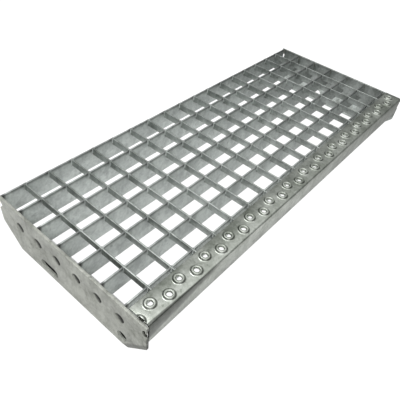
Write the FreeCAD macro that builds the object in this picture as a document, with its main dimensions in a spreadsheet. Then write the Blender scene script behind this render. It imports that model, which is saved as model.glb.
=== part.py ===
import FreeCAD, Part
import math
import os
import Sketcher

# Welded grating stair tread: two punched end plates, seven slotted bearing bars, seventeen pressed-in cross bars
# and a folded nosing with raised anti-slip collars.
# +X runs along the tread, -Y is its front, +Z is up; the origin is the middle of the footprint, under the plates.

SIZES = (
    ("tread_length", 600, "over the outer faces of the end plates"),
    ("tread_depth", 240, "front edge to back edge of the end plates"),
    ("plate_height", 70, "end plate, bottom to top"),
    ("plate_thickness", 3, "end plate"),
    ("corner_cut_depth", 27.5, "cut lower corner, along the depth"),
    ("corner_cut_height", 31, "cut lower corner, up the plate"),
    ("corner_cut_radius", 3.5, "rounding where a corner cut meets a plate's edge"),
    ("corner_bevel_width", 6, "bevel along the front corner cut, on the outer face"),
    ("corner_bevel_depth", 0.8, "bevel along the front corner cut, into the plate"),
    ("edge_notch_radius", 6.3, "half-round notch in a plate's front and back edges"),
    ("edge_notch_drop", 11.5, "notch middle below the plate's top"),
    ("bolt_hole_diameter", 14, "round bolt hole and width of the bolt slot"),
    ("bolt_slot_length", 30, "bolt slot, over its round ends"),
    ("bolt_drop", 55, "bolt holes below the plate's top"),
    ("bolt_setback", 35, "round bolt hole behind the plate's front edge"),
    ("bolt_spacing", 120, "round hole to middle of the slot"),
    ("weld_hole_diameter", 13, "weld hole in an end plate"),
    ("weld_hole_pitch", 33, "weld hole to weld hole"),
    ("weld_hole_count", 6, "weld holes in an end plate"),
    ("weld_hole_drop", 24, "weld holes below the plate's top"),
    ("weld_recess_low", 0.3, "plug weld's face below the plate's outer face, at its lower back"),
    ("weld_recess_high", 2.5, "plug weld's face below the plate's outer face, at its upper front"),
    ("bearing_bar_depth", 30, "bearing bar, top to bottom"),
    ("bearing_bar_thickness", 2, "bearing bar"),
    ("bearing_bar_pitch", 34, "bearing bar to bearing bar"),
    ("back_bar_setback", 2, "back bearing bar's rear face in front of the plate's back edge"),
    ("cross_bar_depth", 9.5, "cross bar, top to bottom"),
    ("cross_bar_thickness", 2, "cross bar"),
    ("slot_relief", 1.5, "bearing bar slot deeper than the cross bar"),
    ("nosing_sheet", 2, "nosing sheet thickness"),
    ("nosing_width", 27, "nosing flange, front face to rear edge"),
    ("nosing_lip", 28, "nosing lip, top face to lower edge"),
    ("nosing_bend_radius", 1.5, "inside of the nosing's fold"),
    ("nosing_end_gap", 0.3, "nosing end to end plate"),
    ("tip_lap", 3, "cross bar tips under the nosing flange"),
    ("collar_pitch", 40, "collar to collar along a row"),
    ("front_row_setback", 10.5, "front row of collars behind the nosing's face"),
    ("rear_row_setback", 16.5, "rear row of collars behind the nosing's face"),
    ("collar_base_diameter", 13, "collar where it rises from the flange"),
    ("collar_rim_diameter", 8, "collar's outer edge at its top"),
    ("collar_hole_diameter", 6, "open hole at the collar's top"),
    ("collar_height", 2.5, "collar above the flange"),
    ("collar_foot", 0.2, "upright foot below the collar's sloping flank"),
)

BEARING_BARS = 7
CROSS_BARS = 17
COLLAR_SIDES = 24


class Dim:
    """A dimension as a number, to draw with, and as a formula, to bind to the sheet."""

    def __init__(self, value, formula):
        self.value = value
        self.formula = formula

    def __add__(self, other):
        other = as_dim(other)
        return Dim(self.value + other.value, f"({self.formula} + {other.formula})")

    def __sub__(self, other):
        other = as_dim(other)
        return Dim(self.value - other.value, f"({self.formula} - {other.formula})")

    def __mul__(self, other):
        other = as_dim(other)
        return Dim(self.value * other.value, f"({self.formula} * {other.formula})")

    def __truediv__(self, other):
        other = as_dim(other)
        return Dim(self.value / other.value, f"({self.formula} / {other.formula})")

    def __neg__(self):
        return Dim(-self.value, f"(-{self.formula})")


def as_dim(number):
    return number if isinstance(number, Dim) else Dim(number, repr(number))


def whole(dim):
    """The whole number of times in a dimension."""
    return Dim(int(dim.value + 0.001), f"floor({dim.formula} + 0.001)")


doc = FreeCAD.newDocument("StairTread")
sheet = doc.addObject("Spreadsheet::Sheet", "Sizes")
size = {}
for row, (name, number, meaning) in enumerate(SIZES, start=1):
    sheet.set(f"A{row}", name)
    sheet.set(f"B{row}", str(number))
    sheet.set(f"C{row}", meaning)
    sheet.setAlias(f"B{row}", name)
    size[name] = Dim(number, f"Sizes.{name}")
doc.recompute()

ZERO = as_dim(0)
half_length = size["tread_length"] / 2
half_depth = size["tread_depth"] / 2
plate_top = size["plate_height"]
plate_inside = half_length - size["plate_thickness"]
bolt_height = plate_top - size["bolt_drop"]
weld_height = plate_top - size["weld_hole_drop"]
slot_depth = size["cross_bar_depth"] + size["slot_relief"]
cross_bar_back = half_depth - size["back_bar_setback"]
cross_bar_front = size["nosing_width"] - half_depth - size["tip_lap"]
cross_bar_pitch = size["tread_length"] / (CROSS_BARS + 1)


def bind(item, path, dim):
    item.setExpression(path, dim.formula)


def place(item, x=ZERO, y=ZERO, z=ZERO):
    for axis, dim in (("x", x), ("y", y), ("z", z)):
        bind(item, f"Placement.Base.{axis}", dim)


def new_body(name):
    body = doc.addObject("PartDesign::Body", name)
    body.Label = name
    return body


def origin_feature(body, role):
    for feature in body.Origin.OriginFeatures:
        if feature.Role == role:
            return feature
    raise RuntimeError(f"{body.Label} has no {role}")


def new_sketch(body, name, plane, x=ZERO, y=ZERO, lift=ZERO):
    """A sketch on one of the body's origin planes, its origin shifted in the plane and lifted along its normal."""
    sketch = body.newObject("Sketcher::SketchObject", name)
    sketch.AttachmentSupport = [(origin_feature(body, plane), "")]
    sketch.MapMode = "FlatFace"
    for axis, dim in (("x", x), ("y", y), ("z", lift)):
        bind(sketch, f"AttachmentOffset.Base.{axis}", dim)
    return sketch


def constrain(sketch, dim, kind, *targets):
    index = sketch.addConstraint(Sketcher.Constraint(kind, *targets, dim.value))
    bind(sketch, f"Constraints[{index}]", dim)


def pin(sketch, geometry, end, x, y):
    """Hold a point at a distance from the sketch's origin."""
    constrain(sketch, x, "DistanceX", -1, 1, geometry, end)
    constrain(sketch, y, "DistanceY", -1, 1, geometry, end)


def polygon(sketch, corners):
    points = [FreeCAD.Vector(x.value, y.value, 0) for x, y in corners]
    lines = []
    for start, end in zip(points, points[1:] + points[:1]):
        lines.append(sketch.addGeometry(Part.LineSegment(start, end), False))
    for line, after, (x, y) in zip(lines, lines[1:] + lines[:1], corners):
        sketch.addConstraint(Sketcher.Constraint("Coincident", line, 2, after, 1))
        pin(sketch, line, 1, x, y)


def circle(sketch, x, y, diameter):
    centre = FreeCAD.Vector(x.value, y.value, 0)
    index = sketch.addGeometry(Part.Circle(centre, FreeCAD.Vector(0, 0, 1), diameter.value / 2), False)
    pin(sketch, index, 3, x, y)
    constrain(sketch, diameter, "Diameter", index)


def obround(sketch, x, y, length, width):
    """A slot with round ends, lying along the sketch's first axis."""
    reach = (length - width) / 2
    radius = width.value / 2
    normal = FreeCAD.Vector(0, 0, 1)
    right = FreeCAD.Vector(x.value + reach.value, y.value, 0)
    left = FreeCAD.Vector(x.value - reach.value, y.value, 0)
    rise = FreeCAD.Vector(0, radius, 0)
    quarter = math.pi / 2
    upper = sketch.addGeometry(Part.LineSegment(left + rise, right + rise), False)
    right_end = sketch.addGeometry(Part.ArcOfCircle(Part.Circle(right, normal, radius), -quarter, quarter), False)
    lower = sketch.addGeometry(Part.LineSegment(right - rise, left - rise), False)
    left_end = sketch.addGeometry(Part.ArcOfCircle(Part.Circle(left, normal, radius), quarter, 3 * quarter), False)
    sketch.addConstraint(Sketcher.Constraint("Tangent", upper, 2, right_end, 2))
    sketch.addConstraint(Sketcher.Constraint("Tangent", right_end, 1, lower, 1))
    sketch.addConstraint(Sketcher.Constraint("Tangent", lower, 2, left_end, 2))
    sketch.addConstraint(Sketcher.Constraint("Tangent", left_end, 1, upper, 1))
    pin(sketch, right_end, 3, x + reach, y)
    pin(sketch, left_end, 3, x - reach, y)
    constrain(sketch, width / 2, "Radius", right_end)


def pad(body, sketch, name, length, both_ways=False):
    feature = body.newObject("PartDesign::Pad", name)
    feature.Profile = sketch
    feature.SideType = "Symmetric" if both_ways else "One side"
    bind(feature, "Length", length)
    doc.recompute()
    return feature


def cut_through(body, sketch, name):
    """Cut a sketch through the whole body, both ways from its plane."""
    before = body.Shape.Volume
    feature = body.newObject("PartDesign::Pocket", name)
    feature.Profile = sketch
    feature.SideType = "Symmetric"
    feature.Type = "ThroughAll"
    doc.recompute()
    if not body.Shape.Volume < before:
        raise RuntimeError(f"{name} cuts nothing")
    return feature


def repeat(body, name, originals, axis, spacing, count):
    """Repeat features along one of the body's axes."""
    feature = body.newObject("PartDesign::LinearPattern", name)
    feature.Originals = originals
    feature.Direction = (origin_feature(body, axis), [""])
    feature.Mode = "Spacing"
    bind(feature, "Offset", spacing)
    bind(feature, "Occurrences", count)
    body.Tip = feature
    doc.recompute()
    return feature


def edges_at(feature, along, **position):
    """Names of a feature's straight edges that run along an axis at a given place."""
    names = []
    for index, edge in enumerate(feature.Shape.Edges, start=1):
        ends = [vertex.Point for vertex in edge.Vertexes]
        if len(ends) != 2:
            continue
        held = [axis for axis in "xyz" if axis != along]
        if any(abs(getattr(ends[0], axis) - getattr(ends[1], axis)) > 1e-6 for axis in held):
            continue
        if all(abs(getattr(ends[0], axis) - where) < 1e-4 for axis, where in position.items()):
            names.append(f"Edge{index}")
    return names


def fillet(body, base, name, edges, radius):
    feature = body.newObject("PartDesign::Fillet", name)
    feature.Base = (base, edges)
    bind(feature, "Radius", radius)
    doc.recompute()
    return feature


def end_plate(name, outward):
    """A plate standing across the tread's end; outward is -1 at the left end and +1 at the right end."""
    body = new_body(name)
    cut_y = half_depth - size["corner_cut_depth"]
    cut_z = size["corner_cut_height"]
    outline = new_sketch(body, f"{name}_outline", "YZ_Plane")
    polygon(outline, (
        (-half_depth, plate_top),
        (-half_depth, cut_z),
        (-cut_y, ZERO),
        (cut_y, ZERO),
        (half_depth, cut_z),
        (half_depth, plate_top),
    ))
    blank = pad(body, outline, f"{name}_blank", size["plate_thickness"])
    outer_x = size["plate_thickness"].value if outward > 0 else 0.0
    bevel_edges = []
    for index, edge in enumerate(blank.Shape.Edges, start=1):
        middle = edge.CenterOfMass
        in_corner = -half_depth.value < middle.y < -cut_y.value and 0 < middle.z < cut_z.value
        if in_corner and abs(middle.x - outer_x) < 1e-6:
            bevel_edges.append(f"Edge{index}")
    bevel = body.newObject("PartDesign::Chamfer", f"{name}_bevel")
    bevel.Base = (blank, bevel_edges)
    bevel.ChamferType = "Two distances"
    bevel.FlipDirection = True
    bind(bevel, "Size", size["corner_bevel_width"])
    bind(bevel, "Size2", size["corner_bevel_depth"])
    doc.recompute()
    corners = []
    for y, z in ((half_depth, cut_z), (cut_y, ZERO)):
        for sign in (-1, 1):
            corners += edges_at(bevel, "x", y=sign * y.value, z=z.value)
    fillet(body, bevel, f"{name}_corners", corners, size["corner_cut_radius"])

    holes = new_sketch(body, f"{name}_bolt_holes", "YZ_Plane")
    hole_y = size["bolt_setback"] - half_depth
    circle(holes, hole_y, bolt_height, size["bolt_hole_diameter"])
    slot_y = hole_y + size["bolt_spacing"]
    obround(holes, slot_y, bolt_height, size["bolt_slot_length"], size["bolt_hole_diameter"])
    cut_through(body, holes, f"{name}_bolt_holes_cut")

    notches = new_sketch(body, f"{name}_notches", "YZ_Plane")
    notch_z = plate_top - size["edge_notch_drop"]
    circle(notches, -half_depth, notch_z, size["edge_notch_radius"] * 2)
    circle(notches, half_depth, notch_z, size["edge_notch_radius"] * 2)
    cut_through(body, notches, f"{name}_notches_cut")

    weld_y = -size["weld_hole_pitch"] * (size["weld_hole_count"] - 1) / 2
    outer_face = size["plate_thickness"] if outward > 0 else ZERO
    weld_face = body.newObject("PartDesign::Plane", f"{name}_weld_face")
    weld_face.AttachmentSupport = [(origin_feature(body, "YZ_Plane"), "")]
    weld_face.MapMode = "FlatFace"
    across_slope = FreeCAD.Rotation(FreeCAD.Vector(1, 1, 0), 1)
    weld_face.AttachmentOffset = FreeCAD.Placement(FreeCAD.Vector(), across_slope)
    for path, dim in (
        ("Base.x", weld_y),
        ("Base.y", weld_height),
        ("Base.z", outer_face - (size["weld_recess_low"] + size["weld_recess_high"]) / 2 * outward),
    ):
        bind(weld_face, f"AttachmentOffset.{path}", dim)
    slope = (size["weld_recess_high"] - size["weld_recess_low"]) / size["weld_hole_diameter"]
    weld_face.setExpression("AttachmentOffset.Rotation.Angle", f"{-outward} * atan({slope.formula})")
    clear_of_face = outer_face + size["plate_thickness"] / 2 * outward
    weld_hole = new_sketch(body, f"{name}_weld_hole", "YZ_Plane", lift=clear_of_face)
    circle(weld_hole, weld_y, weld_height, size["weld_hole_diameter"])
    before = body.Shape.Volume
    first = body.newObject("PartDesign::Pocket", f"{name}_weld_hole_cut")
    first.Profile = weld_hole
    first.Type = "UpToFace"
    first.UpToFace = (weld_face, [""])
    first.Reversed = outward < 0
    doc.recompute()
    if not body.Shape.Volume < before:
        raise RuntimeError(f"{name} has no weld hole")
    repeat(body, f"{name}_weld_holes", [first], "Y_Axis", size["weld_hole_pitch"], size["weld_hole_count"])
    place(body, x=half_length - size["plate_thickness"] if outward > 0 else -half_length)
    return body


def bearing_bar(name, index):
    """A flat bar on edge from plate to plate, slotted from above for every cross bar; index 0 is at the back."""
    body = new_body(name)
    length = plate_inside * 2
    half_bar = length / 2
    outline = new_sketch(body, f"{name}_outline", "XZ_Plane")
    polygon(outline, (
        (-half_bar, -size["bearing_bar_depth"]),
        (half_bar, -size["bearing_bar_depth"]),
        (half_bar, ZERO),
        (-half_bar, ZERO),
    ))
    pad(body, outline, f"{name}_flat", size["bearing_bar_thickness"])
    slot = new_sketch(body, f"{name}_slot", "XZ_Plane", x=cross_bar_x(0))
    half_slot = size["cross_bar_thickness"] / 2
    polygon(slot, (
        (-half_slot, -slot_depth),
        (half_slot, -slot_depth),
        (half_slot, ZERO),
        (-half_slot, ZERO),
    ))
    first = cut_through(body, slot, f"{name}_slot_cut")
    repeat(body, f"{name}_slots", [first], "X_Axis", cross_bar_pitch, as_dim(CROSS_BARS))
    place(body, y=half_depth - size["back_bar_setback"] - size["bearing_bar_pitch"] * index, z=plate_top)
    return body


def cross_bar_x(index):
    return cross_bar_pitch * (index - (CROSS_BARS - 1) / 2)


def cross_bar(name, index):
    """A flat bar on edge, from the back bearing bar's rear face to under the nosing."""
    bar = doc.addObject("Part::Box", name)
    bar.Label = name
    bind(bar, "Length", size["cross_bar_thickness"])
    bind(bar, "Width", cross_bar_back - cross_bar_front)
    bind(bar, "Height", size["cross_bar_depth"])
    x = cross_bar_x(index) - size["cross_bar_thickness"] / 2
    place(bar, x, cross_bar_front, plate_top - size["cross_bar_depth"])
    return bar


def ring(sketch, diameter):
    """A many-sided ring about the sketch's origin."""
    corners = []
    for side in range(COLLAR_SIDES):
        angle = 2 * math.pi * (side + 0.5) / COLLAR_SIDES
        corners.append((diameter * round(math.cos(angle) / 2, 6), diameter * round(math.sin(angle) / 2, 6)))
    polygon(sketch, corners)


def sloped_flank(body, collar, name, x, y):
    """Slope a collar's upright ring in towards its rim."""
    rise = size["collar_height"]
    middle = FreeCAD.Vector(x.value, y.value, rise.value)
    rim = []
    for index, edge in enumerate(collar.Shape.Edges, start=1):
        if all(abs(vertex.Z - rise.value) < 1e-4 for vertex in edge.Vertexes):
            if edge.CenterOfMass.distanceToPoint(middle) < size["collar_base_diameter"].value:
                rim.append(f"Edge{index}")
    feature = body.newObject("PartDesign::Chamfer", name)
    feature.Base = (collar, rim)
    feature.ChamferType = "Two distances"
    feature.SupportTransform = True
    bind(feature, "Size", rise - size["collar_foot"])
    bind(feature, "Size2", (size["collar_base_diameter"] - size["collar_rim_diameter"]) / 2)
    doc.recompute()
    return feature


def collar(body, name, x, y):
    """A many-sided collar drawn up from the flange, open at its top."""
    foot = new_sketch(body, f"{name}_foot", "XY_Plane", x, y)
    ring(foot, size["collar_base_diameter"])
    raised = pad(body, foot, f"{name}_raised", size["collar_height"])
    sloped = sloped_flank(body, raised, f"{name}_sloped", x, y)
    mouth = new_sketch(body, f"{name}_mouth", "XY_Plane", x, y)
    ring(mouth, size["collar_hole_diameter"])
    return [raised, sloped, cut_through(body, mouth, f"{name}_pierced")]


def nosing(name):
    """The folded front sheet: its own origin is at the middle of the front face, level with the flange's top."""
    body = new_body(name)
    sheet_depth = size["nosing_sheet"]
    profile = new_sketch(body, f"{name}_profile", "YZ_Plane")
    polygon(profile, (
        (ZERO, ZERO),
        (ZERO, -size["nosing_lip"]),
        (sheet_depth, -size["nosing_lip"]),
        (sheet_depth, -sheet_depth),
        (size["nosing_width"], -sheet_depth),
        (size["nosing_width"], ZERO),
    ))
    strip_length = size["tread_length"] + size["collar_pitch"] * 2
    strip = pad(body, profile, f"{name}_strip", strip_length, both_ways=True)
    outer_edge = edges_at(strip, "x", y=0, z=0)
    outer = fillet(body, strip, f"{name}_outer_bend", outer_edge, size["nosing_bend_radius"] + sheet_depth)
    inner_edge = edges_at(outer, "x", y=sheet_depth.value, z=-sheet_depth.value)
    fillet(body, outer, f"{name}_inner_bend", inner_edge, size["nosing_bend_radius"])

    # The rows are staggered by half a pitch; the front one starts past the strip's left end, where it is cut off.
    per_row = whole(size["tread_length"] / size["collar_pitch"])
    first_x = -size["collar_pitch"] * per_row / 2
    front = collar(body, f"{name}_front_collar", first_x, size["front_row_setback"])
    rear = collar(body, f"{name}_rear_collar", first_x + size["collar_pitch"] / 2, size["rear_row_setback"])
    repeat(body, f"{name}_collars", front + rear, "X_Axis", size["collar_pitch"], per_row)

    nosing_end = plate_inside - size["nosing_end_gap"]
    beyond = nosing_end + size["collar_pitch"] * 2
    ends = new_sketch(body, f"{name}_ends", "XZ_Plane")
    for sign in (-1, 1):
        polygon(ends, (
            (nosing_end * sign, -size["nosing_lip"] * 2),
            (beyond * sign, -size["nosing_lip"] * 2),
            (beyond * sign, size["nosing_lip"]),
            (nosing_end * sign, size["nosing_lip"]),
        ))
    cut_through(body, ends, f"{name}_ends_cut")
    place(body, y=-half_depth, z=plate_top + sheet_depth)
    return body


parts = [end_plate("left_end_plate", -1), end_plate("right_end_plate", 1)]
parts += [bearing_bar(f"bearing_bar_{index + 1}", index) for index in range(BEARING_BARS)]
parts += [cross_bar(f"cross_bar_{index + 1:02d}", index) for index in range(CROSS_BARS)]
parts.append(nosing("nosing"))
doc.recompute()

for item in doc.Objects:
    if "Invalid" in item.State or "Error" in item.State:
        raise RuntimeError(f"{item.Label} did not build: {item.State}")
os.makedirs("parts", exist_ok=True)
for part in parts:
    if part.Shape.isNull() or not part.Shape.isValid() or not part.Shape.Solids:
        raise RuntimeError(f"{part.Label} has no valid shape")
    part.Shape.exportStep(f"parts/{part.Label}.step")
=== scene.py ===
"""A hot-dip galvanised grating stair tread: its looks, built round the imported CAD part.

All lengths are in metres. The near end of the tread is the one at -x, and its front is at -y.
"""

import math

import bmesh
import bpy
from bpy.props import FloatProperty, FloatVectorProperty, IntProperty, PointerProperty
from mathutils import Matrix, Vector, noise


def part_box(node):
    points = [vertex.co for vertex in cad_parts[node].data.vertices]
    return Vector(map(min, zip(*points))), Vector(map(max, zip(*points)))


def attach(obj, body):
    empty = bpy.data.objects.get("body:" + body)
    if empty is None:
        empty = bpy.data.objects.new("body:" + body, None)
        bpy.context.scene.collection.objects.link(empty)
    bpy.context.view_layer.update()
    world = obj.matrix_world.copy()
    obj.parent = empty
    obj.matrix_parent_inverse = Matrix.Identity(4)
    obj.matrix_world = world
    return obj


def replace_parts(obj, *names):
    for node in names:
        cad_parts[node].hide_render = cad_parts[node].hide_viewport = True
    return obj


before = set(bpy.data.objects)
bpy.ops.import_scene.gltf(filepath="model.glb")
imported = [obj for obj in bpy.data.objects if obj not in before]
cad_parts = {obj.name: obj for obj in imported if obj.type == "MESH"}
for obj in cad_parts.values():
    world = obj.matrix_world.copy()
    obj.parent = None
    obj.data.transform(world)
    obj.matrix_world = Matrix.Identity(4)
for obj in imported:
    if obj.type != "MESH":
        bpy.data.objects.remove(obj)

bl_info = {
    "name": "Grating stair tread",
    "version": (1, 0, 0),
    "blender": (4, 5, 0),
    "location": "View3D > Sidebar > Tread",
    "description": "Zinc, welds, nosing and stage for a galvanised grating stair tread",
    "category": "Object",
}

PLATES = ("left_end_plate", "right_end_plate")
BEARING_BARS = [name for name in sorted(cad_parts) if name.startswith("bearing_bar")]
CROSS_BARS = [name for name in sorted(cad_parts) if name.startswith("cross_bar")]
WELDS_PER_PLATE = 6

# Ways along the tread
UP = (0, 0, 1)
FRONT = (0, -1, 0)
NEAR = (-1, 0, 0)
FAR = (1, 0, 0)

# How finely round shapes are drawn
COLLAR_SIDES = 40
FOLD_STEPS = 8
SHEET_STATIONS = 60
FILLET_STEPS = 4
WELD_RINGS = 7
WELD_SIDES = 32


def srgb(code):
    """The linear colour of an sRGB hex code."""
    parts = [int(code[index:index + 2], 16) / 255 for index in (1, 3, 5)]
    return tuple(part / 12.92 if part <= 0.04045 else ((part + 0.055) / 1.055) ** 2.4 for part in parts)


def add(tree, kind, inputs=(), stops=(), **settings):
    """Add a node; an input is given a value or another node's output, and a colour ramp its stops."""
    made = tree.nodes.new(kind)
    for name, value in settings.items():
        setattr(made, name, value)
    for name, value in dict(inputs).items():
        if isinstance(value, bpy.types.NodeSocket):
            tree.links.new(value, made.inputs[name])
        else:
            made.inputs[name].default_value = value
    if stops:
        elements = made.color_ramp.elements
        while len(elements) < len(stops):
            elements.new(0.5)
        for element, (position, colour) in zip(elements, stops):
            element.position = position
            element.color = (*colour, 1)
    return made


def size_prop(name, description, default):
    """A length that the panel shows."""
    return FloatProperty(name=name, description=description, default=default, unit="LENGTH", precision=4)


def colour_prop(name, description, code):
    """A colour that the panel shows, from its sRGB hex code."""
    return FloatVectorProperty(name=name, description=description, default=srgb(code), subtype="COLOR")


class TreadSizes(bpy.types.PropertyGroup):
    """Sizes of the solids that the dressed pieces follow, and of the zinc on them"""

    sheet: size_prop("Nosing sheet", "Thickness of the nosing's sheet", 0.002)
    bend: size_prop("Nosing bend", "Outer radius of the nosing's fold", 0.0035)
    edge: size_prop("Edge rounding", "Rounding that the zinc leaves on cut edges", 0.0004)
    cut_depth: size_prop("Corner cut, depth", "Cut lower corner of a plate, along its depth", 0.0275)
    cut_height: size_prop("Corner cut, height", "Cut lower corner of a plate, up the plate", 0.031)
    cut_bevel: size_prop("Corner bevel", "Width of the bevel along the front corner cut", 0.006)
    collar_pitch: size_prop("Collar pitch", "Collar to collar along a row", 0.04)
    collar_base: size_prop("Collar base", "Radius where a collar rises from the flange", 0.0065)
    collar_hole: size_prop("Collar hole", "Radius of a collar's hole", 0.003)
    collar_height: size_prop("Collar height", "Height of a collar above the flange", 0.0025)
    front_row: size_prop("Front row", "Front collars behind the nosing's face", 0.0105)
    rear_row: size_prop("Rear row", "Rear collars behind the nosing's face", 0.0165)
    weld_hole: size_prop("Weld hole", "Radius of a weld hole", 0.0065)
    weld_pitch: size_prop("Weld pitch", "Weld hole to weld hole", 0.033)
    weld_drop: size_prop("Weld drop", "Weld holes below the plates' tops", 0.024)
    weld_shallow: size_prop("Weld, shallow side", "Depth of a weld hole at its lower back", 0.0003)
    weld_deep: size_prop("Weld, deep side", "Depth of a weld hole at its upper front", 0.0025)
    notch_drop: size_prop("Notch drop", "Edge notches below the plates' tops", 0.0115)
    fillet: size_prop("Zinc fillet", "Zinc drawn into the corners where bars cross", 0.001)


class TreadColours(bpy.types.PropertyGroup):
    """Light and dark parts of each finish"""

    plate_light: colour_prop("Plate, light", "Light spangle on the near end plate", "#B1B3AC")
    plate_dark: colour_prop("Plate, dark", "Dark spangle on the near end plate", "#80827B")
    bar_light: colour_prop("Bar, light", "Light zinc on the bearing bars", "#DBE0DD")
    bar_dark: colour_prop("Bar, dark", "Dark zinc on the bearing bars", "#AFB4B2")
    cross_light: colour_prop("Cross bar, light", "Light zinc on the cross bars and far plate", "#BFC4C1")
    cross_dark: colour_prop("Cross bar, dark", "Dark zinc on the cross bars and far plate", "#8C918D")
    nosing_light: colour_prop("Nosing, light", "Light zinc on the nosing", "#DEE2DB")
    nosing_dark: colour_prop("Nosing, dark", "Dark zinc on the nosing", "#9EA49A")
    weld_light: colour_prop("Weld, light", "Bright zinc on the welds", "#ABADA6")
    weld_dark: colour_prop("Weld, dark", "Dull zinc on the welds", "#787A72")
    scale_light: colour_prop("Scale, light", "Light parts of the scale in the notches", "#4A4C45")
    scale_dark: colour_prop("Scale, dark", "Dark parts of the scale in the notches", "#1E201C")


class TreadStage(bpy.types.PropertyGroup):
    """The camera's lens, the lamps and the seed"""

    lens: FloatProperty(name="Lens", description="Camera focal length in mm", default=39.55)
    key: FloatProperty(name="Key", description="Power of the lamp above", default=8.0, unit="POWER")
    fill: FloatProperty(name="Fill", description="Power of the front lamp", default=11.0, unit="POWER")
    seed: IntProperty(name="Seed", description="Seed of the fillets' and welds' unevenness", default=7)


def axes_of(tree):
    """The x, y and z of a point on a piece."""
    place = add(tree, "ShaderNodeTexCoord").outputs["Object"]
    return add(tree, "ShaderNodeSeparateXYZ", {"Vector": place}).outputs


def zinc(name, colours, piece, spangle, run, rough, bump):
    """Hot-dip zinc: soft crystal spangle, cloudy blotches and runs down the steel, with a broken sheen.

    The spangle is a crystal's width. The runs and the bumps are strengths.
    """
    material = bpy.data.materials.new(name)
    material.use_nodes = True
    tree = material.node_tree
    shader = tree.nodes["Principled BSDF"]
    place = add(tree, "ShaderNodeTexCoord").outputs["Object"]
    drawn = add(tree, "ShaderNodeMapping", {"Vector": place, "Scale": (1, 1, 0.15)}).outputs["Vector"]
    crystals = add(tree, "ShaderNodeTexVoronoi", {"Vector": place, "Scale": 1 / spangle}, feature="F1")
    crystal = add(tree, "ShaderNodeSeparateColor", {"Color": crystals.outputs["Color"]})
    patterns = {"crystal": crystal.outputs["Red"]}

    # Each pattern has the width that its marks have on galvanised steel.
    for pattern, vector, width, detail, broken in (
        ("cloud", place, 0.03, 4, 0.6),
        ("runs", drawn, 0.008, 3, 0.5),
        ("fine", place, 0.003, 2, 0.5),
        ("blots", place, 0.007, 1, 0.5),
        ("grain", place, 0.004, 4, 0.5),
    ):
        settings = {"Vector": vector, "Scale": 1 / width, "Detail": detail, "Roughness": broken}
        patterns[pattern] = add(tree, "ShaderNodeTexNoise", settings).outputs[0]

    # Dark specks, then each pattern by its weight, make one tone between the two colours.
    blots = {"Value": patterns["blots"], "From Min": 0.66, "From Max": 0.78}
    specks = add(tree, "ShaderNodeMapRange", blots).outputs[0]
    speck_weight = -0.2
    tone = add(tree, "ShaderNodeMath", {0: specks, 1: speck_weight}, operation="MULTIPLY").outputs[0]
    weights = {"crystal": 0.12, "cloud": 0.9, "runs": run, "fine": 0.35}
    for pattern, weight in weights.items():
        terms = {0: patterns[pattern], 1: weight, 2: tone}
        tone = add(tree, "ShaderNodeMath", terms, operation="MULTIPLY_ADD").outputs[0]
    middle, spread = sum(weights.values()) / 2, 0.2
    dark, light = getattr(colours, f"{piece}_dark"), getattr(colours, f"{piece}_light")
    stops = ((middle - spread, dark), (middle + spread, light))
    colour = add(tree, "ShaderNodeValToRGB", {"Fac": tone}, stops)
    tree.links.new(colour.outputs["Color"], shader.inputs["Base Color"])

    shader.inputs["Metallic"].default_value = 1
    uneven = 0.12
    gloss = {"Value": patterns["cloud"], "To Min": rough - uneven, "To Max": rough + uneven}
    sheen = add(tree, "ShaderNodeMapRange", gloss)
    tree.links.new(sheen.outputs["Result"], shader.inputs["Roughness"])
    lumps = add(tree, "ShaderNodeBump", {"Strength": bump, "Distance": 0.0008, "Height": patterns["grain"]})
    tree.links.new(lumps.outputs["Normal"], shader.inputs["Normal"])
    return material


def matt_edges(material, metallic):
    """Dull the sheared edges of a plate that faces along x: rough zinc scatters more than it mirrors."""
    tree = material.node_tree
    facing = add(tree, "ShaderNodeTexCoord").outputs["Normal"]
    along = add(tree, "ShaderNodeSeparateXYZ", {"Vector": facing}).outputs["X"]
    flat = add(tree, "ShaderNodeMath", {0: along}, operation="ABSOLUTE").outputs[0]
    span = {"Value": flat, "From Min": 0.5, "From Max": 0.9, "To Min": metallic}
    part = add(tree, "ShaderNodeMapRange", span)
    tree.links.new(part.outputs[0], tree.nodes["Principled BSDF"].inputs["Metallic"])


def paint_shading(tree, factor, grey):
    """Painted light and shade: multiply a zinc's colour by a grey, as far as a factor says; a grey above 1
    lightens it and one below darkens it.
    """
    base = tree.nodes["Principled BSDF"].inputs["Base Color"]
    mixed = add(tree, "ShaderNodeMix", {"Factor": factor, 7: grey}, data_type="RGBA", blend_type="MULTIPLY")
    tree.links.new(base.links[0].from_socket, mixed.inputs[6])
    tree.links.new(mixed.outputs[2], base)


def paint_shading_by_depth(material, direction, edge, tones, both_ends=False):
    """Paint light and shade onto a zinc: multiply its colour by greys at depths behind an edge; both ends
    count alike if asked.

    The edge is a distance along the direction. The tones are pairs of a depth and a grey, deepest first.
    """
    tree = material.node_tree
    place = add(tree, "ShaderNodeTexCoord").outputs["Object"]
    if both_ends:
        place = add(tree, "ShaderNodeVectorMath", {0: place}, operation="ABSOLUTE").outputs[0]
    along = add(tree, "ShaderNodeVectorMath", {0: place, 1: direction}, operation="DOT_PRODUCT")
    deepest, shallowest = tones[0][0], tones[-1][0]
    span = {"Value": along.outputs["Value"], "From Min": edge - deepest, "From Max": edge - shallowest}
    part = add(tree, "ShaderNodeMapRange", span).outputs[0]
    stops = [((deepest - depth) / (deepest - shallowest), (grey,) * 3) for depth, grey in tones]
    greys = add(tree, "ShaderNodeValToRGB", {"Fac": part}, stops)
    paint_shading(tree, 1, greys.outputs["Color"])


def paint_edge_shading(material, direction, edge, grey):
    """Painted highlight and shade at an edge: multiply the skin of the steel there by a grey, lighter above
    1 and darker below.
    """
    paint_shading_by_depth(material, direction, edge, ((0.0006, 1), (0.0001, grey)))


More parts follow.
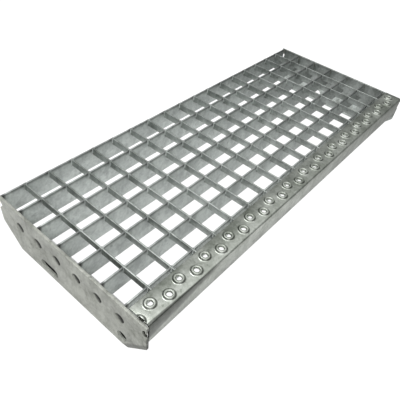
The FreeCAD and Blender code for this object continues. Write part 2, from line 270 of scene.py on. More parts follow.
def paint_shade(material, grey, spans, repeat=None):
    """Paint shade onto a zinc where spans along the axes overlap; each deepens from its start to its end.

    With repeat, which is a first x and a pitch, x is counted afresh at every pitch.
    """
    tree = material.node_tree
    axes = dict(axes_of(tree).items())
    if repeat:
        first, pitch = repeat
        past = add(tree, "ShaderNodeMath", {0: axes["X"], 1: first}, operation="SUBTRACT").outputs[0]
        axes["X"] = add(tree, "ShaderNodeMath", {0: past, 1: pitch}, operation="FLOORED_MODULO").outputs[0]
    mark = 1
    for axis, begin, end in spans:
        span = add(tree, "ShaderNodeMapRange", {"Value": axes[axis], "From Min": begin, "From Max": end})
        mark = add(tree, "ShaderNodeMath", {0: mark, 1: span.outputs[0]}, operation="MULTIPLY").outputs[0]
    paint_shading(tree, mark, (grey, grey, grey, 1))


def roughen(material, height, rough):
    """Dull what stands above a height: steel that is drawn up takes a rougher coat than the flat sheet."""
    tree = material.node_tree
    gloss = tree.nodes["Principled BSDF"].inputs["Roughness"]
    fade = 0.0002
    span = {"Value": axes_of(tree)["Z"], "From Min": height, "From Max": height + fade}
    above = add(tree, "ShaderNodeMapRange", span).outputs[0]
    mixed = add(tree, "ShaderNodeMix", {"Factor": above, 2: gloss.links[0].from_socket, 3: rough})
    tree.links.new(mixed.outputs[0], gloss)


def new_object(name, mesh, material):
    """A finished piece of the tread, riding on its one rigid body."""
    made = bpy.data.objects.new(name, mesh)
    bpy.context.scene.collection.objects.link(made)
    mesh.materials.clear()
    mesh.materials.append(material)
    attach(made, "root")
    return made


def helper_object(name, mesh):
    """An object that is no piece of the tread: a shape to copy, or paper on the stage."""
    made = bpy.data.objects.new(name, mesh)
    bpy.context.scene.collection.objects.link(made)
    return made


def smooth(mesh, degrees):
    """Shade a mesh smooth, up to edges sharper than an angle."""
    mesh.shade_smooth()
    mesh.set_sharp_from_angle(angle=math.radians(degrees))


def baked(name, mesh, modify):
    """The mesh as its modifiers leave it, as plain data."""
    carrier = bpy.data.objects.new(name, mesh)
    bpy.context.scene.collection.objects.link(carrier)
    modify(carrier)
    evaluated = carrier.evaluated_get(bpy.context.evaluated_depsgraph_get())
    result = bpy.data.meshes.new_from_object(evaluated)
    bpy.data.objects.remove(carrier)
    return result


def from_bmesh(name, shape):
    """A mesh made from a shape that is then freed."""
    mesh = bpy.data.meshes.new(name)
    shape.to_mesh(mesh)
    shape.free()
    return mesh


def merged_copy(node):
    """A CAD node's mesh with its triangles joined up into flat faces."""
    shape = bmesh.new()
    shape.from_mesh(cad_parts[node].data)
    bmesh.ops.remove_doubles(shape, verts=shape.verts, dist=1e-6)
    bmesh.ops.dissolve_limit(shape, angle_limit=0.01, verts=shape.verts, edges=shape.edges)
    return from_bmesh(f"{node}_merged", shape)


def round_edges(carrier, width):
    """Round the cut edges, as a coat of zinc does."""
    bevel = carrier.modifiers.new("Rounded by zinc", "BEVEL")
    bevel.width = width
    bevel.segments = 2
    bevel.limit_method = "ANGLE"
    bevel.angle_limit = math.radians(35)


def nodes_group(name, inputs):
    """A geometry node group with named inputs, and the sockets that they arrive at."""
    tree = bpy.data.node_groups.new(name, "GeometryNodeTree")
    tree.interface.new_socket("Geometry", in_out="OUTPUT", socket_type="NodeSocketGeometry")
    tree.interface.new_socket("Geometry", in_out="INPUT", socket_type="NodeSocketGeometry")
    for label, kind in inputs:
        tree.interface.new_socket(label, in_out="INPUT", socket_type=f"NodeSocket{kind}")
    return tree, add(tree, "NodeGroupInput").outputs


def copies_on(tree, points, helper, scale=(1, 1, 1)):
    """Copies of a helper's shape, one on each point."""
    shape = add(tree, "GeometryNodeObjectInfo", {"Object": helper}).outputs["Geometry"]
    settings = {"Points": points, "Instance": shape, "Scale": scale}
    return add(tree, "GeometryNodeInstanceOnPoints", settings).outputs[0]


def end_group(tree, geometry, material):
    """Finish a node group: make its copies real and give them their material."""
    real = add(tree, "GeometryNodeRealizeInstances", {"Geometry": geometry})
    faced = add(tree, "GeometryNodeSetMaterial", {"Geometry": real.outputs[0], "Material": material})
    add(tree, "NodeGroupOutput", {"Geometry": faced.outputs[0]})


def use_group(carrier, tree, values):
    """Put a node group on an object, with values for its named inputs."""
    modifier = carrier.modifiers.new(tree.name, "NODES")
    modifier.node_group = tree
    for socket in tree.interface.items_tree:
        if socket.in_out == "INPUT" and socket.name in values:
            modifier[socket.identifier] = values[socket.name]


def plate_zinc(sizes, colours):
    """Zinc on the near plate: cloudy grey, with matt sheared edges that catch the light differently, and
    painted light and shade on its edges.
    """
    low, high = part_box("left_end_plate")
    made = zinc(
        "Galvanised plate, hot-dipped", colours, "plate", spangle=0.009, run=0.35, rough=0.5, bump=0.25,
    )
    matt_edges(made, metallic=0.3)

    # Painted shade and highlight: the front edge is dark and the top edge light.
    paint_edge_shading(made, FRONT, -low.y, 0.5)
    paint_edge_shading(made, UP, high.z, 1.18)

    # Painted shade: the bevel along the lower front corner is dark.
    across = Vector((0, sizes.cut_height, sizes.cut_depth)).normalized()
    bevel_edge = across.y * (low.y + sizes.cut_depth) + sizes.cut_bevel
    paint_shading_by_depth(made, across, bevel_edge, ((0.001, 0.5), (-0.001, 1)))
    return made


def bar_zinc(colours):
    """Zinc on the bearing bars: pale and part matt from weathering, with painted light and shade along them
    and a shaded band below their tops.
    """
    low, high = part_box("left_end_plate")
    half_length, half_depth, top = -low.x, -low.y, high.z
    made = zinc("Galvanised bar, hot-dipped", colours, "bar", spangle=0.008, run=0.3, rough=0.55, bump=0.2)

    # Weathered zinc scatters light as well as mirroring it.
    made.node_tree.nodes["Principled BSDF"].inputs["Metallic"].default_value = 0.6

    # Painted shade: a dark band lies below the tops, which are shaded less, and the tops darken towards the
    # far end.
    paint_shading_by_depth(made, UP, top, ((0.0045, 1), (0.0017, 0.54), (0.0007, 0.48), (0.0003, 0.8)))
    paint_shade(made, 0.6, (("Z", top - 0.0008, top - 0.0004), ("X", -0.05, 0.22)))

    # Painted shade: the top corners by the near plate are dark.
    paint_shade(made, 0.25, (("Z", top - 0.009, top - 0.005), ("X", low.x + 0.0085, low.x + 0.0055)))

    # Painted light and shade: the back bar is a little darker than the rest, and the bars at the front are
    # lighter.
    paint_shading_by_depth(made, FRONT, half_depth, ((0.236, 0.95), (0.21, 1), (0.05, 1), (0.035, 1.14)))

    # Painted shade and light: the bars darken towards the far end and are brightest by the near plate.
    paint_shading_by_depth(made, FAR, half_length, ((0.25, 1), (0, 0.68)))
    paint_shading_by_depth(made, NEAR, half_length, ((0.025, 1), (0.003, 1.3)))

    # Painted shade: the tops are darkened in the dents beside each cross bar, where it was pressed in.
    first, second = (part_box(name)[0].x for name in CROSS_BARS[:2])
    pitch = second - first
    dent_shade = (("X", pitch - 0.007, pitch - 0.002), ("Z", top - 0.005, top - 0.002))
    paint_shade(made, 0.6, dent_shade, repeat=(first, pitch))
    return made


def cross_zinc(colours):
    """Zinc on the cross bars and the far plate: a mid grey metal with painted light on its tops and on the
    far plate's lower part.
    """
    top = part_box("left_end_plate")[1].z
    made = zinc(
        "Galvanised cross bar, hot-dipped", colours, "cross", spangle=0.007, run=0.3, rough=0.5, bump=0.2,
    )
    # Painted highlight: the tops are lighter.
    paint_edge_shading(made, UP, top, 1.2)

    # Painted light: the lower part of the far plate is lighter, as light from the floor falls on it. The
    # cross bars don't reach so low.
    paint_shading_by_depth(made, UP, top, ((0.04, 1.7), (0.032, 1)))
    return made


class TREAD_OT_steel(bpy.types.Operator):
    """Gives the end plates and the bars their zinc and rounded edges"""

    bl_idname = "tread.steel"
    bl_label = "Plates and bars"

    def execute(self, context):
        sizes = context.scene.tread_sizes
        colours = context.scene.tread_colours
        finishes = (
            (PLATES[:1], plate_zinc(sizes, colours)),
            (BEARING_BARS, bar_zinc(colours)),
            ((*PLATES[1:], *CROSS_BARS), cross_zinc(colours)),
        )
        for names, material in finishes:
            for name in names:
                mesh = baked(name, merged_copy(name), lambda carrier: round_edges(carrier, sizes.edge))
                smooth(mesh, degrees=30)
                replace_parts(new_object(f"{name}_zinc", mesh, material), name)
        return {"FINISHED"}


def nosing_zinc(colours, low, high, top):
    """Zinc on the nosing: bright and smooth, with painted light and shade: a dark patch on the lip, a lit
    fold, dark cut ends and shaded collar flanks.
    """
    made = zinc(
        "Galvanised nosing, hot-dipped", colours, "nosing", spangle=0.008, run=0.2, rough=0.32, bump=0.12,
    )

    # Painted reflection, a dark one: the lip is darker above a line that climbs away from the near end. The
    # flange is too far back to be darkened.
    uphill = Vector((-0.18, -6, 1))
    near_top = uphill.dot(Vector((low.x, low.y, top)))
    paint_shading_by_depth(made, uphill, near_top, ((0.024, 1), (0.019, 0.4), (0.006, 0.3)))

    # Painted highlight: the fold is a little brighter.
    paint_shading_by_depth(made, (0, -1, 1), top - low.y, ((0.0029, 1), (0.002, 1.15)))

    # Painted shade: the cut ends are dark.
    paint_shading_by_depth(made, FAR, high.x, ((0.0004, 1), (0.0001, 0.25)), both_ends=True)

    # The collars are rougher than the sheet. Painted shade darkens their outer flanks, where their mesh
    # marks them.
    roughen(made, top, rough=0.42)
    flank = add(made.node_tree, "ShaderNodeAttribute", attribute_name="flank").outputs["Fac"]
    paint_shading(made.node_tree, flank, (0.45, 0.45, 0.45, 1))
    return made


def lathe(name, profile):
    """A mesh turned about the vertical axis from radius and height pairs."""
    shape = bmesh.new()
    rings = []
    for radius, height in profile:
        ring = []
        for step in range(COLLAR_SIDES):
            angle = 2 * math.pi * step / COLLAR_SIDES
            ring.append(shape.verts.new((radius * math.cos(angle), radius * math.sin(angle), height)))
        rings.append(ring)
    for lower, upper in zip(rings, rings[1:]):
        for step in range(COLLAR_SIDES):
            after = (step + 1) % COLLAR_SIDES
            shape.faces.new((lower[step], lower[after], upper[after], upper[step]))
    return from_bmesh(name, shape)


def collar_shape(sizes):
    """A drawn collar with a round foot, a rolled lip and a hole; its outer flank is marked for painted
    shade.
    """
    base, hole, rise = sizes.collar_base, sizes.collar_hole, sizes.collar_height

    # Radius and height, from the foot over the lip and down through the hole
    profile = (
        (base + 0.0014, -0.00015),
        (base + 0.001, rise * 0.02),
        (base + 0.0006, rise * 0.07),
        (base + 0.0003, rise * 0.14),
        (base + 0.0001, rise * 0.21),
        (base - 0.0005, rise * 0.55),
        (base - 0.0009, rise * 0.84),
        (base - 0.0011, rise * 0.93),
        (base - 0.0015, rise * 0.985),
        (base - 0.002, rise),
        (hole + 0.0009, rise * 0.976),
        (hole + 0.0005, rise * 0.9),
        (hole + 0.0002, rise * 0.78),
        (hole, rise * 0.6),
        (hole, -0.0005),
        (hole + 0.0012, -sizes.sheet),
    )
    mesh = lathe("collar", profile)
    # The points of the outer flank are marked, so that the nosing's zinc paints shade on them.
    flank_radius, flank_height = base - 0.0007, rise * 0.2
    flank_shade = []
    for radius, height in profile:
        on_flank = radius > flank_radius and height > flank_height
        flank_shade += [float(on_flank)] * COLLAR_SIDES
    mesh.attributes.new("flank", "FLOAT", "POINT").data.foreach_set("value", flank_shade)
    return helper_object("collar", mesh)


def punch_shape(sizes):
    """A tapered punch that pierces the sheet under a collar."""
    axis, bottom, top = 0.0001, -0.006, 0.004
    wide, narrow = sizes.collar_hole + 0.0032, sizes.collar_hole - 0.0018
    profile = ((axis, bottom), (wide, bottom), (narrow, top), (axis, top))
    return helper_object("punch", lathe("punch", profile))


def folded_sheet(low, high, top, sheet, bend):
    """The nosing's sheet, bent over its front edge, as a closed shell along the tread."""
    outline = [(low.y, low.z)]
    for step in range(FOLD_STEPS + 1):
        angle = math.pi / 2 * step / FOLD_STEPS
        outline.append((low.y + bend * (1 - math.cos(angle)), top - bend * (1 - math.sin(angle))))
    outline += [(high.y, top), (high.y, top - sheet)]
    inner = bend - sheet
    for step in range(FOLD_STEPS, -1, -1):
        angle = math.pi / 2 * step / FOLD_STEPS
        outline.append((low.y + bend - inner * math.cos(angle), top - bend + inner * math.sin(angle)))
    outline.append((low.y + sheet, low.z))
    shape = bmesh.new()
    rings = []
    for station in range(SHEET_STATIONS + 1):
        x = low.x + (high.x - low.x) * station / SHEET_STATIONS
        rings.append([shape.verts.new((x, y, z)) for y, z in outline])
    for left, right in zip(rings, rings[1:]):
        for index in range(len(outline)):
            after = (index + 1) % len(outline)
            shape.faces.new((left[index], right[index], right[after], left[after]))
    shape.faces.new(rings[0])
    shape.faces.new(list(reversed(rings[-1])))
    bmesh.ops.recalc_face_normals(shape, faces=shape.faces)
    return from_bmesh("folded_sheet", shape)


def collar_rows():
    """A node group that pierces a sheet along two rows and sets a collar round each hole."""
    tree, given = nodes_group("Collar rows", (
        ("Collar", "Object"),
        ("Punch", "Object"),
        ("Pitch", "Vector"),
        ("Front start", "Vector"),
        ("Rear start", "Vector"),
        ("Count", "Int"),
        ("Material", "Material"),
    ))
    rows = add(tree, "GeometryNodeJoinGeometry")
    for start in ("Front start", "Rear start"):
        line = add(tree, "GeometryNodeMeshLine", {
            "Count": given["Count"], "Start Location": given[start], "Offset": given["Pitch"],
        })
        tree.links.new(line.outputs[0], rows.inputs[0])
    placed = {}
    for label in ("Collar", "Punch"):
        copies = copies_on(tree, rows.outputs[0], given[label])
        placed[label] = add(tree, "GeometryNodeRealizeInstances", {"Geometry": copies}).outputs[0]
    meshes = {"Mesh 1": given["Geometry"], "Mesh 2": placed["Punch"]}
    pierced = add(tree, "GeometryNodeMeshBoolean", meshes, operation="DIFFERENCE")
    whole = add(tree, "GeometryNodeJoinGeometry")
    for part in (pierced.outputs[0], placed["Collar"]):
        tree.links.new(part, whole.inputs[0])
    end_group(tree, whole.outputs[0], given["Material"])
    return tree


def trim_ends(mesh, low, high):
    """Cut a mesh off square at the tread's two ends, through any collar that is in the way."""
    shape = bmesh.new()
    shape.from_mesh(mesh)
    for x, way in ((low.x, -1), (high.x, 1)):
        parts = shape.verts[:] + shape.edges[:] + shape.faces[:]
        bmesh.ops.bisect_plane(
            shape, geom=parts, plane_co=(x, 0, 0), plane_no=(way, 0, 0), clear_outer=True,
        )
    shape.to_mesh(mesh)
    shape.free()


class TREAD_OT_nosing(bpy.types.Operator):
    """Builds the folded nosing with its drawn collars"""

    bl_idname = "tread.nosing"
    bl_label = "Nosing"

    def execute(self, context):
        sizes = context.scene.tread_sizes
        low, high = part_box("nosing")
        top = high.z - sizes.collar_height
        material = nosing_zinc(context.scene.tread_colours, low, high, top)
        collar, punch = collar_shape(sizes), punch_shape(sizes)
        tree = collar_rows()
        count = int((high.x - low.x) / sizes.collar_pitch) + 1
        start = -sizes.collar_pitch * count / 2
        values = {
            "Collar": collar,
            "Punch": punch,
            "Pitch": (sizes.collar_pitch, 0, 0),
            "Front start": (start, low.y + sizes.front_row, top),
            "Rear start": (start + sizes.collar_pitch / 2, low.y + sizes.rear_row, top),
            "Count": count,
            "Material": material,
        }

        def modify(carrier):
            round_edges(carrier, sizes.edge)
            use_group(carrier, tree, values)

        mesh = baked("nosing_sheet", folded_sheet(low, high, top, sizes.sheet, sizes.bend), modify)
        trim_ends(mesh, low, high)
        smooth(mesh, degrees=40)
        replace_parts(new_object("nosing_zinc", mesh, material), "nosing")
        for helper in (collar, punch):
            bpy.data.objects.remove(helper)
        return {"FINISHED"}


def corner_fillet(shape, x, y, low, high, width):
    """A hollow fillet of zinc in an upright corner that opens towards x and y."""
    across = math.copysign(width, x), math.copysign(width, y)
    rim = []
    for step in range(FILLET_STEPS + 1):
        angle = math.pi / 2 * step / FILLET_STEPS
        rim.append((x + across[0] * (1 - math.sin(angle)), y + across[1] * (1 - math.cos(angle))))
    lower = [shape.verts.new((px, py, low)) for px, py in rim]
    upper = [shape.verts.new((px, py, high)) for px, py in rim]
    for index in range(FILLET_STEPS):
        shape.faces.new((lower[index], lower[index + 1], upper[index + 1], upper[index]))
    for ring, height in ((lower, low), (upper, high)):
        corner = shape.verts.new((x, y, height))
        for index in range(FILLET_STEPS):
            shape.faces.new((corner, ring[index], ring[index + 1]))


def crossing_shape(bar, cross, width):
    """Zinc in the four upright corners of one crossing, hung from the bars' tops."""
    half_bar = (bar[1].y - bar[0].y) / 2
    half_cross = (cross[1].x - cross[0].x) / 2
    lowest, highest = -0.75 * (cross[1].z - cross[0].z), -0.0002
    shape = bmesh.new()
    for x in (-half_cross, half_cross):
        for y in (-half_bar, half_bar):
            corner_fillet(shape, x, y, lowest, highest, width)
    bmesh.ops.recalc_face_normals(shape, faces=shape.faces)
    return helper_object("fillet", from_bmesh("fillet", shape))


def crossings():
    """A node group that sets a fillet of uneven depth at every crossing of the grating."""
    tree, given = nodes_group("Crossings", (
        ("Fillet", "Object"),
        ("Across", "Int"),
        ("Along", "Int"),
        ("Depth", "Float"),
        ("Length", "Float"),
        ("Middle", "Vector"),
        ("Seed", "Int"),
        ("Material", "Material"),
    ))
    grid = add(tree, "GeometryNodeMeshGrid", {
        "Size X": given["Length"],
        "Size Y": given["Depth"],
        "Vertices X": given["Along"],
        "Vertices Y": given["Across"],
    })
    moved = add(tree, "GeometryNodeTransform", {
        "Geometry": grid.outputs[0], "Translation": given["Middle"],
    })
    uneven = add(tree, "FunctionNodeRandomValue", {"Seed": given["Seed"]}, data_type="FLOAT_VECTOR")
    uneven.inputs["Min"].default_value = (1, 1, 0.85)
    uneven.inputs["Max"].default_value = (1, 1, 1)
    copies = copies_on(tree, moved.outputs[0], given["Fillet"], uneven.outputs[0])
    end_group(tree, copies, given["Material"])
    return tree


class TREAD_OT_fillets(bpy.types.Operator):
    """Draws zinc into the corners where the bars cross"""

    bl_idname = "tread.fillets"
    bl_label = "Zinc fillets"

    def execute(self, context):
        colours = context.scene.tread_colours
        bars = [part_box(name) for name in BEARING_BARS]
        crosses = [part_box(name) for name in CROSS_BARS]
        fillet = crossing_shape(bars[0], crosses[0], context.scene.tread_sizes.fillet)
        tree = crossings()
        middles_x = [(low.x + high.x) / 2 for low, high in crosses]
        middles_y = [(low.y + high.y) / 2 for low, high in bars]

        # Pale zinc that softens the corners where bars meet.
        material = zinc(
            "Zinc drawn into corners", colours, "bar", spangle=0.006, run=0.2, rough=0.4, bump=0.2,
        )
        values = {
            "Fillet": fillet,
            "Across": len(middles_y),
            "Along": len(middles_x),
            "Depth": max(middles_y) - min(middles_y),
            "Length": max(middles_x) - min(middles_x),
            "Middle": (0, (max(middles_y) + min(middles_y)) / 2, bars[0][1].z),
            "Seed": context.scene.tread_stage.seed,
            "Material": material,
        }
        empty = bpy.data.meshes.new("empty")
        mesh = baked("zinc_fillets", empty, lambda carrier: use_group(carrier, tree, values))
        smooth(mesh, degrees=50)
        new_object("zinc_fillets", mesh, material)
        bpy.data.objects.remove(fillet)
        return {"FINISHED"}


def plug_zinc(colours, face):
    """Lumpy zinc on a plug weld, with painted shade: bright near the plate's face, and almost black where
    it lies deep in its hole.
    """
    made = zinc("Plug weld, hot-dipped", colours, "weld", spangle=0.004, run=0.2, rough=0.5, bump=0.6)
    # Painted shade: the deeper the weld lies in its hole, the darker it is.
    tones = ((0.0025, 0.02), (0.001, 0.06), (0.0006, 0.4), (0.0003, 1))
    paint_shading_by_depth(made, FAR, face, tones, both_ends=True)
    return made


def plug_weld(side, outward, radius, shallow, deep):
    """A weld's uneven face on its hole's floor: nearly flush at its lower back, deep at its upper front."""
    proud, least, lump_height, lumps_per_metre = 0.0004, 0.0001, 0.0002, 400
    shape = bmesh.new()
    rings = []
    for ring in range(1, WELD_RINGS + 1):
        row = []
        for step in range(WELD_SIDES):
            angle = 2 * math.pi * step / WELD_SIDES
            out = radius * ring / WELD_RINGS
            y, z = out * math.cos(angle), out * math.sin(angle)
            slope = (z - y) / math.sqrt(2) / radius
            lump = noise.noise((y * lumps_per_metre, z * lumps_per_metre, outward)) * lump_height
            depth = (shallow + deep) / 2 + (deep - shallow) / 2 * slope - proud + lump
            row.append(shape.verts.new((-outward * max(depth, least), y, z)))
        rings.append(row)
    shape.faces.new(rings[0])
    for inner, outer in zip(rings, rings[1:]):
        for step in range(WELD_SIDES):
            after = (step + 1) % WELD_SIDES
            shape.faces.new((inner[step], inner[after], outer[after], outer[step]))
    bmesh.ops.recalc_face_normals(shape, faces=shape.faces)
    if sum(face.normal.x for face in shape.faces) * outward < 0:
        bmesh.ops.reverse_faces(shape, faces=shape.faces)
    return helper_object(f"{side} weld", from_bmesh("plug_weld", shape))


def weld_rows():
    """A node group that sets a row of slightly uneven plug welds in each end plate."""
    tree, given = nodes_group("Row of plug welds", (
        ("Left weld", "Object"),
        ("Right weld", "Object"),
        ("Left start", "Vector"),
        ("Right start", "Vector"),
        ("Pitch", "Vector"),
        ("Count", "Int"),
        ("Seed", "Int"),
        ("Material", "Material"),
    ))
    uneven = add(tree, "FunctionNodeRandomValue", {"Seed": given["Seed"]}, data_type="FLOAT_VECTOR")
    uneven.inputs["Min"].default_value = (0.9, 0.95, 0.95)
    uneven.inputs["Max"].default_value = (1, 1, 1)
    rows = add(tree, "GeometryNodeJoinGeometry")
    for side in ("Left", "Right"):
        line = add(tree, "GeometryNodeMeshLine", {
            "Count": given["Count"], "Start Location": given[f"{side} start"], "Offset": given["Pitch"],
        })
        copies = copies_on(tree, line.outputs[0], given[f"{side} weld"], uneven.outputs[0])
        tree.links.new(copies, rows.inputs[0])
    end_group(tree, rows.outputs[0], given["Material"])
    return tree


def nugget(shape, centre, reach, seed):
    """A lump of weld metal, added to a mesh; its reach is half its size along each axis."""
    unevenness, lumps = 0.22, 2.1
    made = bmesh.ops.create_icosphere(shape, subdivisions=3, radius=1)
    for vertex in made["verts"]:
        swell = 1 + unevenness * noise.noise(vertex.co * lumps + Vector((seed, 0, 0)))
        vertex.co = Vector(centre) + Vector(a * b for a, b in zip(vertex.co * swell, reach))


def beads_and_scale(sizes, seed):
    """Beads of weld metal, and almost black lumps of scale, one of them painted shade under the cut front
    collar, as two shapes.
    """
    low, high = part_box("left_end_plate")
    middle = (low.x + high.x) / 2
    notch_z = high.z - sizes.notch_drop
    beads, scale = bmesh.new(), bmesh.new()

    # In a front notch: how far behind the plate's edge, how far above the notch's middle, and the reach
    in_notch = (
        (beads, 0.0019, 0.0026, (0.0011, 0.0015, 0.003)),
        (scale, 0.0052, 0.0012, (0.001, 0.0016, 0.0026)),
        (scale, 0.0024, -0.0026, (0.001, 0.0018, 0.0024)),
    )
    for end in (-1, 1):
        for shape, inset, rise, reach in in_notch:
            nugget(shape, (-end * middle, inset - high.y, notch_z + rise), reach, seed + end - 3)
        nosing_corner = (end * (-high.x - 0.0012), -high.y + 0.0065, high.z)
        nugget(beads, nosing_corner, (0.0014, 0.0016, 0.0012), seed)
        for name in BEARING_BARS:
            bar_low, bar_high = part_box(name)
            for y in (bar_low.y, bar_high.y):
                bar_end = (end * bar_high.x, y, bar_high.z - 0.005)
                nugget(beads, bar_end, (0.0016, 0.0012, 0.004), seed + 100 * y)
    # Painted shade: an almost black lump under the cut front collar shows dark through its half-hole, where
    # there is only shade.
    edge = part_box("nosing")[0]
    cut_collar = (edge.x - 0.0001, edge.y + sizes.front_row, high.z + sizes.sheet)
    nugget(scale, cut_collar, (0.0011, 0.0032, 0.0012), seed)
    return beads, scale


class TREAD_OT_welds(bpy.types.Operator):
    """Fills the weld holes and front notches, and beads the bars' ends to the plates"""

    bl_idname = "tread.welds"
    bl_label = "Welds"

    def execute(self, context):
        sizes = context.scene.tread_sizes
        colours = context.scene.tread_colours
        seed = context.scene.tread_stage.seed
        low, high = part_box("left_end_plate")
        face = -low.x
        plug = plug_zinc(colours, face)
        tree = weld_rows()
        welds = []
        for side, outward in (("Left", -1), ("Right", 1)):
            welds.append(plug_weld(side, outward, sizes.weld_hole, sizes.weld_shallow, sizes.weld_deep))
        first = -sizes.weld_pitch * (WELDS_PER_PLATE - 1) / 2
        height = high.z - sizes.weld_drop
        values = {
            "Left weld": welds[0],
            "Right weld": welds[1],
            "Left start": (-face, first, height),
            "Right start": (face, first, height),
            "Pitch": (0, sizes.weld_pitch, 0),
            "Count": WELDS_PER_PLATE,
            "Seed": seed,
            "Material": plug,
        }
        empty = bpy.data.meshes.new("empty")
        mesh = baked("plug_welds", empty, lambda carrier: use_group(carrier, tree, values))
        smooth(mesh, degrees=60)
        new_object("plug_welds", mesh, plug)
        for weld in welds:
            bpy.data.objects.remove(weld)

        # Beads have the plug welds' lumpy grey zinc. Scale is almost black; its lump under the cut front
        # collar is painted shade.
        crust = {"spangle": 0.004, "run": 0.2, "bump": 0.6}
        bead = zinc("Weld bead, hot-dipped", colours, "weld", rough=0.5, **crust)
        almost_black = zinc("Weld scale, scorched", colours, "scale", rough=0.6, **crust)
        beads, scale = beads_and_scale(sizes, seed)
        for name, shape, finish in (("weld_beads", beads, bead), ("weld_scale", scale, almost_black)):
            mesh = from_bmesh(name, shape)
            smooth(mesh, degrees=60)
            new_object(name, mesh, finish)
        return {"FINISHED"}


def white_paper(near, front):
    """Matt white paper: plain white to the eye, under the tread's soft shadow.

    In the zinc's reflections it glows dimmer in front of the tread, beneath it and towards its far end: a
    painted shadow of the tread and a painted fall of light. The x of the tread's near end and the y of its
    front are given.
    """
    made = bpy.data.materials.new("White paper, matt")
    made.use_nodes = True
    tree = made.node_tree
    tree.nodes.clear()
    path = add(tree, "ShaderNodeLightPath").outputs
    seen = path["Is Camera Ray"]
    for ray in ("Is Glossy Ray", "Is Transmission Ray"):
        seen = add(tree, "ShaderNodeMath", {0: seen, 1: path[ray]}, operation="MAXIMUM").outputs[0]

    # Painted shadow in reflections: the grades set how brightly the paper glows to glossy rays. Each grade
    # runs along an axis from a start to an end, and from a first strength to a last.
    axes = axes_of(tree)
    grades = {}
    for name, axis, start, end, first, last in (
        ("all over", "X", 0, 0.5, 0.62, 0.12),
        ("behind the nosing", "Y", front, front + 0.1, 0.5, 0.96),
        ("nosing's edge", "Y", front - 0.003, front + 0.001, 0, 1),
        ("far end", "X", 0.05, 0.35, 1, 0.45),
        ("outside the near plate", "X", near, near + 0.005, 0.94, 0),
    ):
        span = {"Value": axes[axis], "From Min": start, "From Max": end, "To Min": first, "To Max": last}
        grades[name] = add(tree, "ShaderNodeMapRange", span).outputs[0]
    behind = grades["behind the nosing"]
    for limit in ("nosing's edge", "far end"):
        behind = add(tree, "ShaderNodeMath", {0: behind, 1: grades[limit]}, operation="MULTIPLY").outputs[0]
    level = grades["outside the near plate"]
    for other in (grades["all over"], behind, path["Is Camera Ray"]):
        level = add(tree, "ShaderNodeMath", {0: level, 1: other}, operation="MAXIMUM").outputs[0]

    # Glowing paper is white to the eye, and a little grey paper added to it takes the shadow.
    glow = add(tree, "ShaderNodeEmission", {"Color": (*srgb("#FFFFFF"), 1), "Strength": level}).outputs[0]
    touch = add(tree, "ShaderNodeBsdfDiffuse", {"Color": (*srgb("#616161"), 1)}).outputs[0]
    white = add(tree, "ShaderNodeAddShader", {0: glow, 1: touch}).outputs[0]
    lit = add(tree, "ShaderNodeBsdfDiffuse", {"Color": (*srgb("#E7E7E7"), 1)}).outputs[0]
    mix = add(tree, "ShaderNodeMixShader", {"Fac": seen, 1: lit, 2: white})
    add(tree, "ShaderNodeOutputMaterial", {"Surface": mix.outputs[0]})
    return made


def shaded_paper(start):
    """Paper with the near plate's shade painted on: almost black beside the plate, and white a centimetre
    further on.
    """
    made = bpy.data.materials.new("White paper in a plate's shade, matt")
    made.use_nodes = True
    tree = made.node_tree
    shader = tree.nodes["Principled BSDF"]
    shader.inputs["Roughness"].default_value = 0.9
    reach = 0.0105
    span = {"Value": axes_of(tree)["X"], "From Min": start, "From Max": start + reach}
    past = add(tree, "ShaderNodeMapRange", span).outputs[0]
    tones = ((0.6, srgb("#191919")), (0.8, srgb("#959595")), (1.0, srgb("#E7E7E7")))
    tone = add(tree, "ShaderNodeValToRGB", {"Fac": past}, tones)
    tree.links.new(tone.outputs["Color"], shader.inputs["Base Color"])
    return made


def paper_sheet(name, x_span, y_span, height, material):
    """A flat sheet of paper between two places in x and two in y."""
    (near, far), (front, back) = x_span, y_span
    corners = ((near, front), (far, front), (far, back), (near, back))
    mesh = bpy.data.meshes.new(name)
    mesh.from_pydata([(x, y, height) for x, y in corners], [], [(0, 1, 2, 3)])
    mesh.materials.append(material)
    return helper_object(name, mesh)


def bright_room():
    """A room that is bright overhead and dim at its sides; the camera sees it as plain white."""
    made = bpy.data.worlds.new("Bright room")
    made.use_nodes = True
    tree = made.node_tree
    tree.nodes.clear()
    way = add(tree, "ShaderNodeTexCoord").outputs["Generated"]
    height = add(tree, "ShaderNodeSeparateXYZ", {"Vector": way}).outputs["Z"]

    # How bright the room is, from the horizon at 0 to straight up at 1
    levels = (
        (0.0, (0.15, 0.155, 0.15)),
        (0.3, (0.17, 0.175, 0.17)),
        (0.45, (0.23, 0.235, 0.23)),
        (0.6, (0.43, 0.435, 0.43)),
        (0.72, (0.64, 0.65, 0.64)),
        (0.84, (0.98, 0.99, 0.98)),
        (1.0, (1.0, 1.0, 1.0)),
    )
    walls = add(tree, "ShaderNodeValToRGB", {"Fac": height}, levels).outputs["Color"]
    room = add(tree, "ShaderNodeBackground", {"Color": walls, "Strength": 1.0}).outputs[0]
    blank = add(tree, "ShaderNodeBackground", {"Color": (1, 1, 1, 1), "Strength": 1.0}).outputs[0]
    camera_ray = add(tree, "ShaderNodeLightPath").outputs["Is Camera Ray"]
    mix = add(tree, "ShaderNodeMixShader", {"Fac": camera_ray, 1: room, 2: blank})
    add(tree, "ShaderNodeOutputWorld", {"Surface": mix.outputs[0]})
    return made


def hang_lamp(scene, name, power, width, place):
    """A soft square lamp that faces the middle of the tread."""
    lamp = bpy.data.lights.new(name, "AREA")
    lamp.energy = power
    lamp.size = width
    holder = bpy.data.objects.new(name, lamp)
    scene.collection.objects.link(holder)
    holder.location = place
    middle = Vector((0, 0, 0.05))
    holder.rotation_euler = (middle - Vector(place)).to_track_quat("-Z", "Y").to_euler()


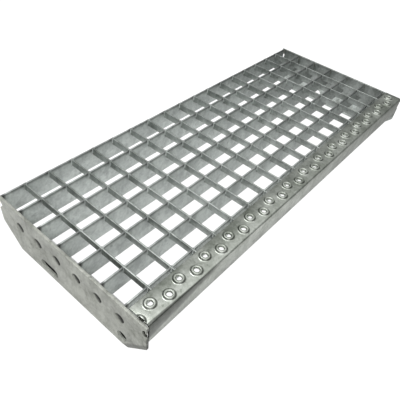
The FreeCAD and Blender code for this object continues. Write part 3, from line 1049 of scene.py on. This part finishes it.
def photo_camera(scene, lens):
    """A camera that stands and faces as the photograph's did."""
    camera = bpy.data.objects.new("camera", bpy.data.cameras.new("camera"))
    scene.collection.objects.link(camera)
    camera.data.lens = lens
    camera.data.sensor_width = 36
    place = (-0.4451, -0.2621, 0.43)
    right = Vector((0.6501, -0.7537, 0.0968))
    up = Vector((0.4799, 0.5059, 0.7167))
    back = Vector((-0.5892, -0.4195, 0.6906))
    turn = Matrix((right, up, back)).transposed().to_4x4()
    camera.matrix_world = Matrix.Translation(place) @ turn
    return camera


class TREAD_OT_stage(bpy.types.Operator):
    """Sets the white floor, the light and the camera"""

    bl_idname = "tread.stage"
    bl_label = "Stage"

    def execute(self, context):
        scene = context.scene
        stage = scene.tread_stage
        low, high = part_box("left_end_plate")
        reach = 20
        floor = paper_sheet("floor", (-reach, reach), (-reach, reach), 0, white_paper(low.x, low.y))

        # Painted shade: a strip just above the floor, behind the near plate, shows dark through the plate's
        # openings.
        behind_plate = (high.x, high.x + 0.03)
        between_corners = (low.y * 0.8, high.y * 0.8)
        above_floor = 0.0003
        shade = paper_sheet("shade", behind_plate, between_corners, above_floor, shaded_paper(high.x))

        scene.world = bright_room()
        hang_lamp(scene, "key", stage.key, width=0.9, place=(-0.7, 0.5, 1.4))
        hang_lamp(scene, "fill", stage.fill, width=1.6, place=(-1.1, -1.1, 1.1))
        scene.camera = photo_camera(scene, stage.lens)
        scene.view_settings.view_transform = "Standard"
        return {"FINISHED"}


class TREAD_PT_panel(bpy.types.Panel):
    """Shows the tread's sizes, colours, stage and steps"""

    bl_idname = "TREAD_PT_panel"
    bl_label = "Stair tread"
    bl_space_type = "VIEW_3D"
    bl_region_type = "UI"
    bl_category = "Tread"

    def draw(self, context):
        scene = context.scene
        for group in (scene.tread_sizes, scene.tread_colours, scene.tread_stage):
            for name in group.__annotations__:
                self.layout.prop(group, name)
        for step in STEPS:
            self.layout.operator(step.bl_idname)


STEPS = (TREAD_OT_steel, TREAD_OT_nosing, TREAD_OT_fillets, TREAD_OT_welds, TREAD_OT_stage)
GROUPS = (("tread_sizes", TreadSizes), ("tread_colours", TreadColours), ("tread_stage", TreadStage))


def register():
    for name, group in GROUPS:
        bpy.utils.register_class(group)
        setattr(bpy.types.Scene, name, PointerProperty(type=group))
    for item in (*STEPS, TREAD_PT_panel):
        bpy.utils.register_class(item)


def unregister():
    for item in reversed((*STEPS, TREAD_PT_panel)):
        bpy.utils.unregister_class(item)
    for name, group in reversed(GROUPS):
        delattr(bpy.types.Scene, name)
        bpy.utils.unregister_class(group)


def main():
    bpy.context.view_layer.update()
    register()
    bpy.ops.tread.steel()
    bpy.ops.tread.nosing()
    bpy.ops.tread.fillets()
    bpy.ops.tread.welds()
    bpy.ops.tread.stage()


if __name__ == "__main__":
    main()
